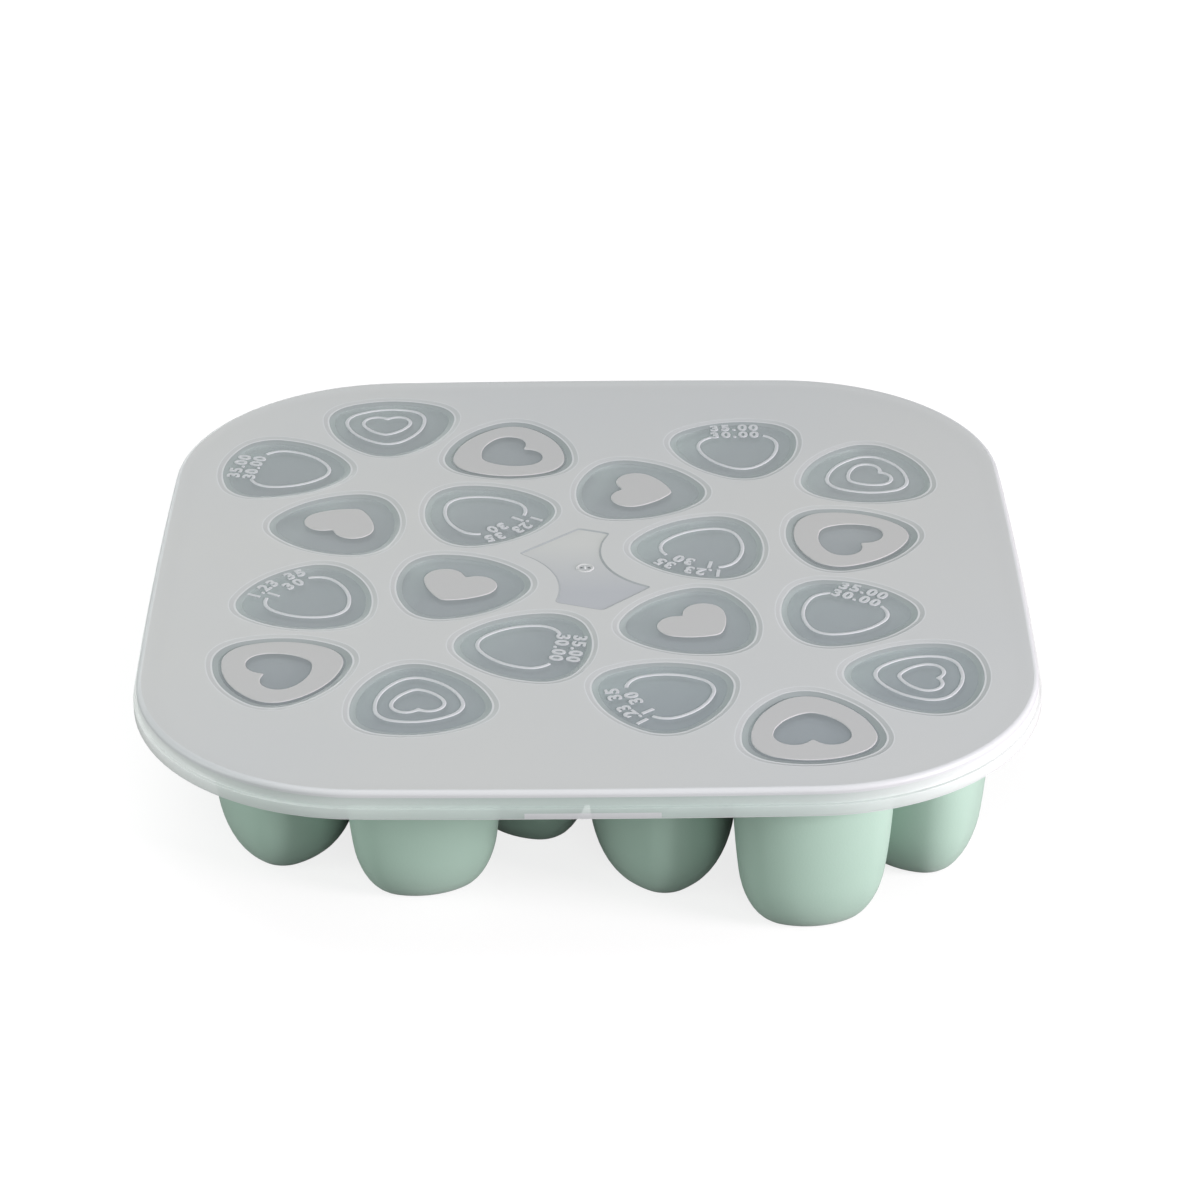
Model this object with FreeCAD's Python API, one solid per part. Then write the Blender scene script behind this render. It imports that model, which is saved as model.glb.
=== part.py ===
import FreeCAD, Part

import math
import os

V = FreeCAD.Vector

# A freezer tray for baby food: one soft silicone moulding with twenty cups, and a lid that clips over it.
# Millimetres. +Z is up, the front (with the lid's thumb catch) faces -Y, and the cups stand on z = 0.

# ---- Driving sizes ----------------------------------------------------------------------------

# Every cup, window and plug has the same rounded-triangle outline, given by its mean radius.
# These three shares of that radius shape it.
CORNER_SHARE = 0.584  # radius of a corner arc
REACH_SHARE = 0.502  # middle of the outline to the centre of a corner arc
SIDE_SHARE = 1.5785  # radius of a side arc

# Silicone cups
CUP_R = 19.0  # mean outer radius under the deck
CUP_GAP = 0.4  # least gap between two cups under the deck
CUP_H = 45.5  # foot to the underside of the deck
CUP_DRAFT = 3.9  # how far the wall draws in between deck and foot
CUP_CURVE = 2.2  # 1 is a straight wall, more keeps it upright near the deck
HEEL_H = 13.6  # height of the rounded heel
HEEL_R = 5.4  # how far the heel turns in towards the flat foot
CUP_WALL = 1.5
CUP_FLOOR = 1.6

# Centre of each cup, in pitches, and the direction of one of its corners in degrees. A pitch is
# the distance between two cups that face each other flat to flat.
LAYOUT = (
    (-1.483, 2.261, 29),
    (-0.578, 1.812, 86),
    (-2.252, 1.562, 113),
    (-0.738, 0.812, 8),
    (-1.782, 0.669, 61),
    (-0.901, -0.269, 3),
    (-1.943, -0.437, 76),
    (-0.405, -1.141, 55),
    (-2.070, -1.435, 25),
    (-1.123, -1.869, 101),
    (1.465, -2.279, 96),
    (0.505, -1.812, 32),
    (2.220, -1.597, 51),
    (0.715, -0.818, 73),
    (1.771, -0.699, 0),
    (0.810, 0.276, 62),
    (1.857, 0.399, 10),
    (0.356, 1.174, 111),
    (2.047, 1.387, 85),
    (1.108, 1.852, 40),
)

# Silicone deck and rim
DECK_T = 1.8
DECK_MARGIN = 3.7  # outermost cup to the rim
DECK_CORNER_R = 51.0
SIDE_BOW_R = 2500.0  # the long sides bulge a little
RIM_W = 4.2
RIM_RISE = 0.3  # the rim stands this much above the deck and carries the lid

# Lid
PLATE_T = 1.4
PLATE_EDGE_R = 1.2
SKIRT_CLEAR = 0.4  # rim to skirt, all round
SKIRT_T = 1.2
SKIRT_H = 2.6
LIP_OUTSET = 0.9  # the lower lip stands out from the skirt
LIP_H = 3.0
LEDGE_T = 1.0
WINDOW_DEPTH = 0.6
WINDOW_BEVEL = 0.7
PLUG_H = 0.6
PLUG_DRAFT = 0.7
PLUG_CLEAR = 0.6  # plug to the mouth of a cup, all round
BEAD_REACH = 1.0
BEAD_H = 1.1
BEAD_GAP = 0.2  # rim's underside to the snap beads
BEAD_START = 20.0  # each bead runs between these two distances from the middle of its side
BEAD_END = 75.0
CATCH_W = 32.5
CATCH_T = 0.7  # extra thickness of the lip at the thumb catch
STAR_DEPTH = 0.5
GATE_R = 2.2
GATE_H = 0.2

# The two halves of the star in the middle of the lid, in pitches. Each has a tip, a point on the
# hollow edge that runs on from it, and the two corners before the next tip.
STAR = (
    ((-0.453, 0.178), (-0.233, -0.137), (-0.228, -0.525), (0.107, -0.645)),
    ((0.428, -0.303), (0.126, 0.033), (0.161, 0.483), (-0.064, 0.564)),
)
GATE_PLACE = (-0.017, -0.022)  # middle of the gate mark, in pitches

# ---- Derived sizes ----------------------------------------------------------------------------

# The side arcs are centred this share of the radius behind the middle of the outline.
BACK_SHARE = math.sqrt((SIDE_SHARE - CORNER_SHARE) ** 2 - 0.75 * REACH_SHARE**2) - REACH_SHARE / 2
FLAT_SHARE = SIDE_SHARE - BACK_SHARE  # middle of the outline to the middle of a side
TIP_SHARE = REACH_SHARE + CORNER_SHARE

PITCH = 2 * FLAT_SHARE * CUP_R + CUP_GAP
MOUTH_R = CUP_R - CUP_WALL
PLUG_R = MOUTH_R - PLUG_CLEAR
WINDOW_R = PLUG_R - PLUG_DRAFT

Z_DECK = CUP_H
Z_DECK_TOP = Z_DECK + DECK_T
Z_SEAT = Z_DECK_TOP + RIM_RISE
Z_TOP = Z_SEAT + PLATE_T
Z_LEDGE = Z_SEAT - SKIRT_H
Z_LIP = Z_LEDGE - LIP_H
Z_BEAD_TOP = Z_LEDGE - LEDGE_T
Z_RIM = Z_BEAD_TOP + BEAD_GAP

CUPS = [(x * PITCH, y * PITCH, turn) for x, y, turn in LAYOUT]


def polar(radius, degrees, x=0.0, y=0.0, z=0.0):
    angle = math.radians(degrees)
    return V(x + radius * math.cos(angle), y + radius * math.sin(angle), z)


# ---- Outlines ---------------------------------------------------------------------------------


def triangle_arcs(radius, turn, x, y, z):
    """The rounded triangle: three corner arcs joined by three wide side arcs, all tangent."""
    corner = CORNER_SHARE * radius
    reach = REACH_SHARE * radius
    back = BACK_SHARE * radius
    edges = []
    for k in range(3):
        along = turn + 120 * k
        here = polar(reach, along, x, y, z)
        following = polar(reach, along + 120, x, y, z)
        hub = polar(-back, along + 60, x, y, z)
        previous_hub = polar(-back, along - 60, x, y, z)
        start = here + (here - previous_hub).normalize() * corner
        end = here + (here - hub).normalize() * corner
        far = following + (following - hub).normalize() * corner
        edges.append(Part.Arc(start, polar(TIP_SHARE * radius, along, x, y, z), end).toShape())
        edges.append(Part.Arc(end, polar(FLAT_SHARE * radius, along + 60, x, y, z), far).toShape())
    return edges


def triangle(cup, radius, z):
    x, y, turn = cup
    return Part.Wire(triangle_arcs(radius, turn, x, y, z))


def triangle_reach(cup, steps=72):
    """Points round the outside of a cup's top, to size the deck by."""
    wire = triangle(cup, CUP_R, 0.0)
    return wire.discretize(Number=steps)


def half_width_for(points, corner):
    """The least half width of a square with rounded corners that holds all the points."""
    best = 0.0
    for point in points:
        x, y = abs(point.x), abs(point.y)
        best = max(best, x, y)
        if abs(x - y) < corner:
            best = max(best, corner + (x + y - math.sqrt(2 * corner**2 - (x - y) ** 2)) / 2)
    return best


def square(out, z):
    """The deck's outline, grown by out: a square with bowed sides and large round corners."""
    half, corner, bow = DECK_HALF + out, DECK_CORNER_R + out, SIDE_BOW_R + out
    hub = half - bow
    # The corner's centre lies on the diagonal, bow - corner away from the side's centre.
    centre = (hub + math.sqrt(2 * (bow - corner) ** 2 - hub**2)) / 2
    sweep = math.degrees(math.atan2(centre, centre - hub))
    edges = []
    for k in range(4):
        spin = 90 * k
        origin = polar(hub, spin)
        knee = polar(centre * math.sqrt(2), spin + 45)
        start = polar(bow, spin - sweep, origin.x, origin.y, z)
        middle = polar(bow, spin, origin.x, origin.y, z)
        end = polar(bow, spin + sweep, origin.x, origin.y, z)
        turn = polar(corner, spin + 45, knee.x, knee.y, z)
        next_origin = polar(hub, spin + 90)
        finish = polar(bow, spin + 90 - sweep, next_origin.x, next_origin.y, z)
        edges.append(Part.Arc(start, middle, end).toShape())
        edges.append(Part.Arc(end, turn, finish).toShape())
    return Part.Wire(edges)


def slab(wire, height):
    return Part.Face(wire).extrude(V(0, 0, height))


def ring(inner, outer, low, high):
    """A band that follows the outline, between two offsets and two heights."""
    return slab(square(outer, low), high - low).cut(slab(square(inner, low), high - low))


def frustum(cup, low_r, low_z, high_r, high_z):
    return Part.makeLoft([triangle(cup, low_r, low_z), triangle(cup, high_r, high_z)], True, True)


# ---- Silicone tray ----------------------------------------------------------------------------


def cup_radius(z):
    """Mean outer radius of a cup at a height: curved draft, then the elliptical heel."""
    radius = CUP_R - CUP_DRAFT * ((CUP_H - z) / CUP_H) ** CUP_CURVE
    if z < HEEL_H:
        radius -= HEEL_R * (1 - math.sqrt(max(0.0, 1 - (1 - z / HEEL_H) ** 2)))
    return radius


def cup_levels():
    """Heights of the sections, from foot to deck: close together round the heel."""
    heel = [HEEL_H * (1 - math.sin(math.radians(angle))) for angle in (90, 75, 60, 45, 30, 15, 0)]
    wall = [HEEL_H + (CUP_H - HEEL_H) * share for share in (1 / 3, 2 / 3, 1.0)]
    return heel + wall


def cup_body(cup, wall=0.0, floor=0.0):
    """The cup's outer form, or with a wall and a floor its hollow, which runs out at the top."""
    span = (CUP_H - floor) / CUP_H
    wires = [triangle(cup, cup_radius(z) - wall, floor + z * span) for z in cup_levels()]
    return Part.makeLoft(wires, True, True)


def make_cup(cup):
    return cup_body(cup).cut(cup_body(cup, CUP_WALL, CUP_FLOOR))


def make_deck():
    deck = slab(square(0.0, Z_DECK), DECK_T)
    mouths = [slab(triangle(cup, MOUTH_R, Z_DECK), DECK_T) for cup in CUPS]
    return deck.cut(mouths)


def make_rim():
    return ring(0.0, RIM_W, Z_RIM, Z_SEAT)


# ---- Lid --------------------------------------------------------------------------------------

SKIRT_IN = RIM_W + SKIRT_CLEAR
SKIRT_OUT = SKIRT_IN + SKIRT_T
LIP_IN = SKIRT_IN + LIP_OUTSET
LIP_OUT = SKIRT_OUT + LIP_OUTSET


def star_wire(z):
    """The star between the middle cups: two hollow sides and four straight ones."""
    halves = [[V(x * PITCH, y * PITCH, z) for x, y in half] for half in STAR]
    edges = []
    for half, following in (halves, halves[::-1]):
        tip, hollow, first, second = half
        edges.append(Part.Arc(tip, hollow, first).toShape())
        edges.append(Part.LineSegment(first, second).toShape())
        edges.append(Part.LineSegment(second, following[0]).toShape())
    return Part.Wire(edges)


def make_plate():
    """The flat top, with a shallow window over each cup that reaches into the cup's mouth."""
    plate = slab(square(SKIRT_OUT, Z_SEAT), PLATE_T)
    rim_edges = [edge for edge in plate.Edges if edge.BoundBox.ZMin > Z_TOP - PLATE_T / 4]
    plate = plate.makeFillet(min(PLATE_EDGE_R, 0.9 * PLATE_T), rim_edges)
    plugs = [frustum(cup, WINDOW_R, Z_SEAT - PLUG_H, PLUG_R, Z_SEAT) for cup in CUPS]
    plate = plate.fuse(plugs)
    low = Z_TOP - WINDOW_DEPTH
    high = Z_TOP + WINDOW_DEPTH
    wells = [frustum(cup, WINDOW_R, low, WINDOW_R + 2 * WINDOW_BEVEL, high) for cup in CUPS]
    star = slab(star_wire(Z_TOP - STAR_DEPTH), STAR_DEPTH)
    gate_x, gate_y = (place * PITCH for place in GATE_PLACE)
    gate = Part.makeCylinder(GATE_R, GATE_H, V(gate_x, gate_y, Z_TOP - STAR_DEPTH))
    return plate.cut(wells + [star]).fuse(gate).removeSplitter()


def side_box(start, end, spin):
    """A tall box past the edge of one side, between two distances from the side's middle."""
    far = DECK_HALF + LIP_OUT
    box = Part.makeBox(far, end - start, Z_TOP, V(DECK_HALF / 2, start, 0))
    box.rotate(V(0, 0, 0), V(0, 0, 1), spin)
    return box


def make_skirt():
    """The wall that drops over the rim, the ledge, the lower lip and the thumb catch."""
    wall = ring(SKIRT_IN, SKIRT_OUT, Z_BEAD_TOP, Z_SEAT)
    ledge = ring(SKIRT_IN, LIP_OUT, Z_BEAD_TOP, Z_LEDGE)
    lip = ring(LIP_IN, LIP_OUT, Z_LIP, Z_LEDGE)
    front = side_box(-CATCH_W / 2, CATCH_W / 2, -90)
    catch = ring(LIP_IN - CATCH_T, LIP_IN, Z_LIP, Z_LEDGE).common(front)
    return wall.fuse([ledge, lip, catch]).removeSplitter()


def make_beads():
    """Eight snap beads in the corner of lip and ledge, two a side, just under the silicone rim."""
    band = ring(LIP_IN - BEAD_REACH, LIP_IN, Z_BEAD_TOP - BEAD_H, Z_BEAD_TOP)
    beads = []
    for k in range(4):
        beads.append(band.common(side_box(BEAD_START, BEAD_END, 90 * k)))
        beads.append(band.common(side_box(-BEAD_END, -BEAD_START, 90 * k)))
    return Part.makeCompound(beads)


# ---- Files ------------------------------------------------------------------------------------


def save(name, shape):
    if shape.ShapeType == "Compound" and len(shape.Solids) == 1:
        shape = shape.Solids[0]
    shape.exportStep(os.path.join("parts", name + ".step"))
    box = shape.BoundBox
    print(f"{name:16s} solids {len(shape.Solids)} valid {shape.isValid()} volume {shape.Volume:10.1f}"
          f" x {box.XMin:7.2f} {box.XMax:7.2f} y {box.YMin:7.2f} {box.YMax:7.2f}"
          f" z {box.ZMin:6.2f} {box.ZMax:6.2f}")


DECK_HALF = half_width_for([p for cup in CUPS for p in triangle_reach(cup)], DECK_CORNER_R) + DECK_MARGIN

os.makedirs("parts", exist_ok=True)
for number, cup in enumerate(CUPS, 1):
    save(f"cup_{number:02d}", make_cup(cup))
save("tray_deck", make_deck())
save("tray_rim", make_rim())
save("lid_plate", make_plate())
save("lid_skirt", make_skirt())
save("lid_snap_beads", make_beads())
mouth = slab(triangle(CUPS[0], MOUTH_R, 0), DECK_T)
brim = (cup_body(CUPS[0], CUP_WALL, CUP_FLOOR).Volume + mouth.Volume) / 1000  # millilitres
print(f"deck half width {DECK_HALF:.2f}, lip half width {DECK_HALF + LIP_OUT:.2f}, cup brim {brim:.1f} ml")
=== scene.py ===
# %% [markdown]
# The object is a freezer tray for portions of baby food. One soft silicone moulding has twenty cups
# of rounded-triangle plan, and a frosted lid snaps over its rim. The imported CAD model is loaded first
# as a fixed frame, so that each surface made here goes exactly where the CAD says.

import math

import bmesh
import bpy
import numpy as np
from mathutils import Matrix, Vector, geometry


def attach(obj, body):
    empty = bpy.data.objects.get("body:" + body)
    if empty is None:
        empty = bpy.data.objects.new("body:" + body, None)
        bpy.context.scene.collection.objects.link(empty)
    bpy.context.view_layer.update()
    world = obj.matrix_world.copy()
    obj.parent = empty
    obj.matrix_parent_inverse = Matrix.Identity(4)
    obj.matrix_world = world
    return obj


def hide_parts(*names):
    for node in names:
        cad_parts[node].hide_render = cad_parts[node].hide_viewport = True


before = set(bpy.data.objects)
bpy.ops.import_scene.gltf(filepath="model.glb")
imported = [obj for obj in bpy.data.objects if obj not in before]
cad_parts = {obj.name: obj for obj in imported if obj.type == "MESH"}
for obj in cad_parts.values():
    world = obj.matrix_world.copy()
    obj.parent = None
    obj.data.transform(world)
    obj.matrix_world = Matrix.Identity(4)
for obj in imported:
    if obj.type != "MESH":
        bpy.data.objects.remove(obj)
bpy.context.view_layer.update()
MM = 0.001

# %% [markdown]
# A product shot of a flat tray wants a long lens from a low three-quarter height, so that the lid
# reads as a level square and the cups still show under its front edge. The camera is put on a line
# from the middle of the lid, and its lens comes from a focal length in pixels of a 1200 pixel frame.

# %% Camera
FRAME_PX = 1200
FOCAL_PX = 3938.2
ELEVATION, YAW, ROLL = 0.5007064, 0.00104722, -0.00837990  # radians
TARGET = Vector((3.117, -18.154, 49.0)) * MM
DISTANCE = 980.8 * MM
SENSOR_MM = 36.0
NEAREST = 0.05  # metres, closer things aren't drawn

outward = math.cos(ELEVATION)
back = Vector((math.sin(YAW) * outward, -math.cos(YAW) * outward, math.sin(ELEVATION)))
level = Vector((0, 0, 1)).cross(back).normalized()
upward = back.cross(level)
right = math.cos(ROLL) * level + math.sin(ROLL) * upward
top = math.cos(ROLL) * upward - math.sin(ROLL) * level

lens = bpy.data.cameras.new("camera")
lens.sensor_fit = "HORIZONTAL"
lens.sensor_width = SENSOR_MM
lens.lens = FOCAL_PX / FRAME_PX * SENSOR_MM
lens.clip_start = NEAREST
camera = bpy.data.objects.new("camera", lens)
facing = Matrix((right, top, back)).transposed().to_4x4()
camera.matrix_world = Matrix.Translation(TARGET + DISTANCE * back) @ facing
bpy.context.scene.collection.objects.link(camera)
bpy.context.scene.camera = camera
print(f"lens {lens.lens:.1f} mm, {math.degrees(ELEVATION):.1f} degrees above the floor")

# %% [markdown]
# Every cup, window and mark on the lid shares one outline, a triangle with three corner arcs joined
# by three wide side arcs. All of its sizes are shares of a mean radius. The outline is sampled once
# as a unit loop, and is then only scaled, turned and moved, so loops of different cups and heights
# have matching points and can be joined by plain quads.

# %% The rounded triangle
CORNER_SHARE = 0.584
REACH_SHARE = 0.502
SIDE_SHARE = 1.5785
BACK_SHARE = math.sqrt((SIDE_SHARE - CORNER_SHARE) ** 2 - 0.75 * REACH_SHARE**2) - REACH_SHARE / 2
FLAT_SHARE = SIDE_SHARE - BACK_SHARE
CORNER_STEPS, SIDE_STEPS = 10, 18


def direction(degrees):
    return np.array([math.cos(math.radians(degrees)), math.sin(math.radians(degrees))])


def arc(centre, radius, start, end, steps):
    """Points along an arc, without its last one."""
    return [centre + radius * direction(start + (end - start) * k / steps) for k in range(steps)]


def unit_triangle():
    lean = math.degrees(math.atan2(BACK_SHARE * math.sin(math.pi / 3), REACH_SHARE + BACK_SHARE / 2))
    points = []
    for along in (0, 120, 240):
        points += arc(REACH_SHARE * direction(along), CORNER_SHARE, along - lean, along + lean, CORNER_STEPS)
        hub = -BACK_SHARE * direction(along + 60)
        points += arc(hub, SIDE_SHARE, along + lean, along + 120 - lean, SIDE_STEPS)
    return np.array(points)


TRIANGLE = unit_triangle()
print(len(TRIANGLE), "points round one cup")


def placed(points, x, y, turn):
    """Plan points turned and moved."""
    c, s = direction(turn)
    return points @ np.array([[c, s], [-s, c]]) + (x, y)


# %% [markdown]
# The twenty cups are packed like pebbles, and half a turn nearly maps the packing onto itself. Their
# centres are given in pitches, which is the distance between two cups that face each other flat to
# flat. The third value is the direction of one corner, in degrees.

# %% Where the cups stand
CUP_R = 19.0
CUP_GAP = 0.4
PITCH = 2 * FLAT_SHARE * CUP_R + CUP_GAP
LAYOUT = (
    (-1.483, 2.261, 29), (-0.578, 1.812, 86), (-2.252, 1.562, 113), (-0.738, 0.812, 8),
    (-1.782, 0.669, 61), (-0.901, -0.269, 3), (-1.943, -0.437, 76), (-0.405, -1.141, 55),
    (-2.070, -1.435, 25), (-1.123, -1.869, 101), (1.465, -2.279, 96), (0.505, -1.812, 32),
    (2.220, -1.597, 51), (0.715, -0.818, 73), (1.771, -0.699, 0), (0.810, 0.276, 62),
    (1.857, 0.399, 10), (0.356, 1.174, 111), (2.047, 1.387, 85), (1.108, 1.852, 40),
)  # fmt: skip
CUPS = [(x * PITCH, y * PITCH, turn) for x, y, turn in LAYOUT]


def cup_loop(cup, radius):
    return placed(TRIANGLE * radius, *cup)


print(f"pitch {PITCH:.2f} mm, {len(CUPS)} cups")

# %% [markdown]
# The deck, the rim and the lid share a second outline, a square with large round corners and sides
# that bow out a little. It is grown by an offset for each of them. The sides have a point about every
# two and a half millimetres, because the snap beads inside the lid are pressed out of those points.

# %% The bowed square
DECK_MARGIN = 3.7
DECK_CORNER_R = 51.0
SIDE_BOW_R = 2500.0
SQUARE_SIDE_STEPS, SQUARE_CORNER_STEPS = 44, 24


def half_width(points, corner):
    """The least half width of a square with rounded corners that holds all the points."""
    best = 0.0
    for x, y in np.abs(points):
        best = max(best, x, y)
        if abs(x - y) < corner:
            best = max(best, corner + (x + y - math.sqrt(2 * corner**2 - (x - y) ** 2)) / 2)
    return best


cup_edges = np.concatenate([cup_loop(cup, CUP_R) for cup in CUPS])
DECK_HALF = half_width(cup_edges, DECK_CORNER_R) + DECK_MARGIN


def square(out):
    """The deck's outline grown by out, as one loop of plan points that starts on the +X side."""
    half, corner, bow = DECK_HALF + out, DECK_CORNER_R + out, SIDE_BOW_R + out
    hub = half - bow
    knee = (hub + math.sqrt(2 * (bow - corner) ** 2 - hub**2)) / 2
    sweep = math.degrees(math.atan2(knee, knee - hub))
    points = []
    for spin in (0, 90, 180, 270):
        points += arc(hub * direction(spin), bow, spin - sweep, spin + sweep, SQUARE_SIDE_STEPS)
        centre = knee * math.sqrt(2) * direction(spin + 45)
        points += arc(centre, corner, spin + sweep, spin + 90 - sweep, SQUARE_CORNER_STEPS)
    return np.array(points)


print(f"deck half width {DECK_HALF:.2f} mm")

# %% [markdown]
# A moulding is one closed skin. The helper below gathers rings of points at given heights, joins two
# rings by a band of quads, and fills flat areas that have holes by a constrained Delaunay
# triangulation. Booleans could do this too, but they leave slivers and lose the even quads that
# smooth shading wants. Flat areas keep flat shading, so a fillet beside them doesn't smear its
# gradient over them.

# %% A skin made of rings
HOLES_STAY_OPEN = 2  # the triangulation's mode that fills the inside of a loop but not its holes
SAME_PLACE = 1e-6  # mm, closer points count as one in a fill
WELD = 1e-7  # metres, closer points are joined in a finished mesh


class Skin:
    def __init__(self):
        self.points, self.faces, self.finishes, self.smooth = [], [], [], []

    def ring(self, plan, z):
        """Adds a loop of plan points at one height, or at a height for each point."""
        start = len(self.points)
        heights = np.broadcast_to(z, len(plan))
        self.points += [(x, y, h) for (x, y), h in zip(plan, heights)]
        return list(range(start, len(self.points)))

    def face(self, corners, finish, smooth):
        self.faces.append(corners)
        self.finishes.append(finish)
        self.smooth.append(smooth)

    def band(self, first, second, finish=0, closed=True, smooth=True):
        """Quads between two rings, with one finish or with one for each quad."""
        count = len(first)
        finishes = np.broadcast_to(finish, count)
        for i in range(count if closed else count - 1):
            j = (i + 1) % count
            self.face((first[i], first[j], second[j], second[i]), int(finishes[i]), smooth)
        return second

    def sweep(self, start, loops, finish=0, smooth=True):
        """Bands through a list of (plan points, height), from an existing ring."""
        for plan, z in loops:
            start = self.band(start, self.ring(plan, z), finish, smooth=smooth)
        return start

    def fill(self, outer, holes=(), finish=0):
        """Fills the flat area inside a ring and outside the holes."""
        rings = [outer, *holes]
        index = [i for ring in rings for i in ring]
        plan = [Vector(self.points[i][:2]) for i in index]
        loops, start = [], 0
        for ring in rings:
            loops.append(list(range(start, start + len(ring))))
            start += len(ring)
        made = geometry.delaunay_2d_cdt(plan, [], loops, HOLES_STAY_OPEN, SAME_PLACE)
        triangles, sources = made[2], made[3]
        for triangle in triangles:
            self.face(tuple(index[sources[v][0]] for v in triangle), finish, False)

    def build(self, name, finishes):
        mesh = bpy.data.meshes.new(name)
        mesh.from_pydata([tuple(v * MM for v in p) for p in self.points], [], self.faces)
        for finish in finishes:
            mesh.materials.append(finish)
        mesh.polygons.foreach_set("material_index", self.finishes)
        mesh.polygons.foreach_set("use_smooth", self.smooth)
        return finished(name, mesh)


def finished(name, mesh, sharp=40):
    """Turns the faces outwards, marks the sharp edges and puts the piece in the scene."""
    work = bmesh.new()
    work.from_mesh(mesh)
    bmesh.ops.remove_doubles(work, verts=work.verts, dist=WELD)
    bmesh.ops.recalc_face_normals(work, faces=work.faces)
    loose = sum(not edge.is_manifold for edge in work.edges)
    work.to_mesh(mesh)
    work.free()
    # Marking sharp edges makes every face smooth, so the flat ones are remembered and set back.
    smooth = np.empty(len(mesh.polygons), bool)
    mesh.polygons.foreach_get("use_smooth", smooth)
    mesh.set_sharp_from_angle(angle=math.radians(sharp))
    mesh.polygons.foreach_set("use_smooth", smooth)
    mesh.validate()
    piece = bpy.data.objects.new(name, mesh)
    bpy.context.scene.collection.objects.link(piece)
    print(f"{name}: {len(mesh.polygons)} faces, {loose} open edges")
    return piece


print(f"points closer than {WELD / MM:.4f} mm are joined in a finished piece")

# %% [markdown]
# Finishes are made from nodes. A small class wraps a socket, so that shader maths reads as plain
# Python, and one method makes every other node. Its settings go in before its sockets, because some
# sockets only appear once a setting is made.

# %% Node helpers
BUMP_STRENGTH = 0.5


class Link:
    """A socket that arithmetic works on."""

    def __init__(self, finish, socket):
        self.finish, self.socket = finish, socket

    def maths(self, operation, first, second):
        return self.finish.node("Math", {"operation": operation}, {0: first, 1: second}, "Value")

    def __add__(self, other):
        return self.maths("ADD", self, other)

    def __sub__(self, other):
        return self.maths("SUBTRACT", self, other)

    def __rsub__(self, other):
        return self.maths("SUBTRACT", other, self)

    def __mul__(self, other):
        return self.maths("MULTIPLY", self, other)

    def at_most(self, other):
        return self.maths("MINIMUM", self, other)

    def at_least(self, other):
        return self.maths("MAXIMUM", self, other)

    __radd__, __rmul__ = __add__, __mul__


class Nodes:
    """The node tree of a material or a world."""

    def __init__(self, owner):
        owner.use_nodes = True
        self.owner, self.tree = owner, owner.node_tree
        self.tree.nodes.clear()

    def node(self, kind, settings, sockets, out):
        made = self.tree.nodes.new("ShaderNode" + kind)
        for name, value in settings.items():
            setattr(made, name, value)
        for name, value in sockets.items():
            if isinstance(value, Link):
                self.tree.links.new(value.socket, made.inputs[name])
            else:
                made.inputs[name].default_value = value
        return Link(self, made.outputs[out]) if out is not None else made

    def mixed(self, factor, first, second):
        """Two colours mixed by a factor."""
        sockets = {0: factor, 6: first, 7: second}
        return self.node("Mix", {"data_type": "RGBA"}, sockets, 2)

    def place(self):
        """Where a point is on the piece, in metres."""
        return self.node("TexCoord", {}, {}, "Object")

    def along(self, axis):
        return self.node("SeparateXYZ", {}, {0: self.place()}, axis)

    def noise(self, scale, detail):
        sockets = {"Vector": self.place(), "Scale": scale, "Detail": detail}
        return self.node("TexNoise", {"noise_dimensions": "3D"}, sockets, "Fac")

    def bump(self, height, distance):
        sockets = {"Height": height, "Distance": distance, "Strength": BUMP_STRENGTH}
        return self.node("Bump", {}, sockets, "Normal")

    def surface(self, **sockets):
        """A Principled shader on the output. Words in a socket's name are joined by _ here."""
        named = {name.replace("_", " "): value for name, value in sockets.items()}
        shader = self.node("BsdfPrincipled", {}, named, "BSDF")
        self.node("OutputMaterial", {}, {"Surface": shader}, None)
        return self.owner


def colour(red, green, blue):
    """A colour written as it looks on a screen, 0 to 255, as the shader's linear one."""
    shares = [v / 255 for v in (red, green, blue)]
    return tuple(s / 12.92 if s <= 0.04045 else ((s + 0.055) / 1.055) ** 2.4 for s in shares) + (1.0,)


print("half way up the screen's scale is", round(colour(128, 128, 128)[0], 3), "of full light")

# %% [markdown]
# Silicone is soft and satin: it has a wide dull highlight, a slight powdery sheen at grazing angles
# and a very fine grain from the mould. Two greens that hardly differ are mixed by a broad noise, so
# that no cup is one flat colour.

# %% Silicone finish


def silicone_finish():
    nodes = Nodes(bpy.data.materials.new("sage_silicone"))
    cloud = nodes.noise(scale=22.0, detail=3.0)
    grain = nodes.noise(scale=1900.0, detail=2.0)
    tint = nodes.mixed(cloud, colour(149, 177, 162), colour(157, 185, 170))
    return nodes.surface(
        Base_Color=tint,
        Roughness=0.5 + 0.12 * grain,
        Normal=nodes.bump(grain, distance=0.00006),
        Subsurface_Weight=0.12,
        Subsurface_Radius=(0.004, 0.004, 0.004),
        Sheen_Weight=0.1,
        Coat_Weight=0.9,
        Coat_Roughness=0.5,
        IOR=1.41,
    )


silicone = silicone_finish()
print("made", silicone.name)

# %% [markdown]
# The lid is polypropylene. Its top is spark-eroded to a frost, its windows are polished clear, and its
# skirt is thin enough for the green rim to show through. One helper makes a finish for each kind of
# surface, with its own greys, Alpha and Roughness. Glass-like transmission could be used, but Alpha
# stays clean in few samples and survives an export. The skirt is paler and denser towards the sides.

# %% Lid finishes
SIDE_RISE = 90.0  # one over the square of a distance in metres, at which the side colour is reached
SKIRT_SIDES = ((214, 219, 217), 0.78)


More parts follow.
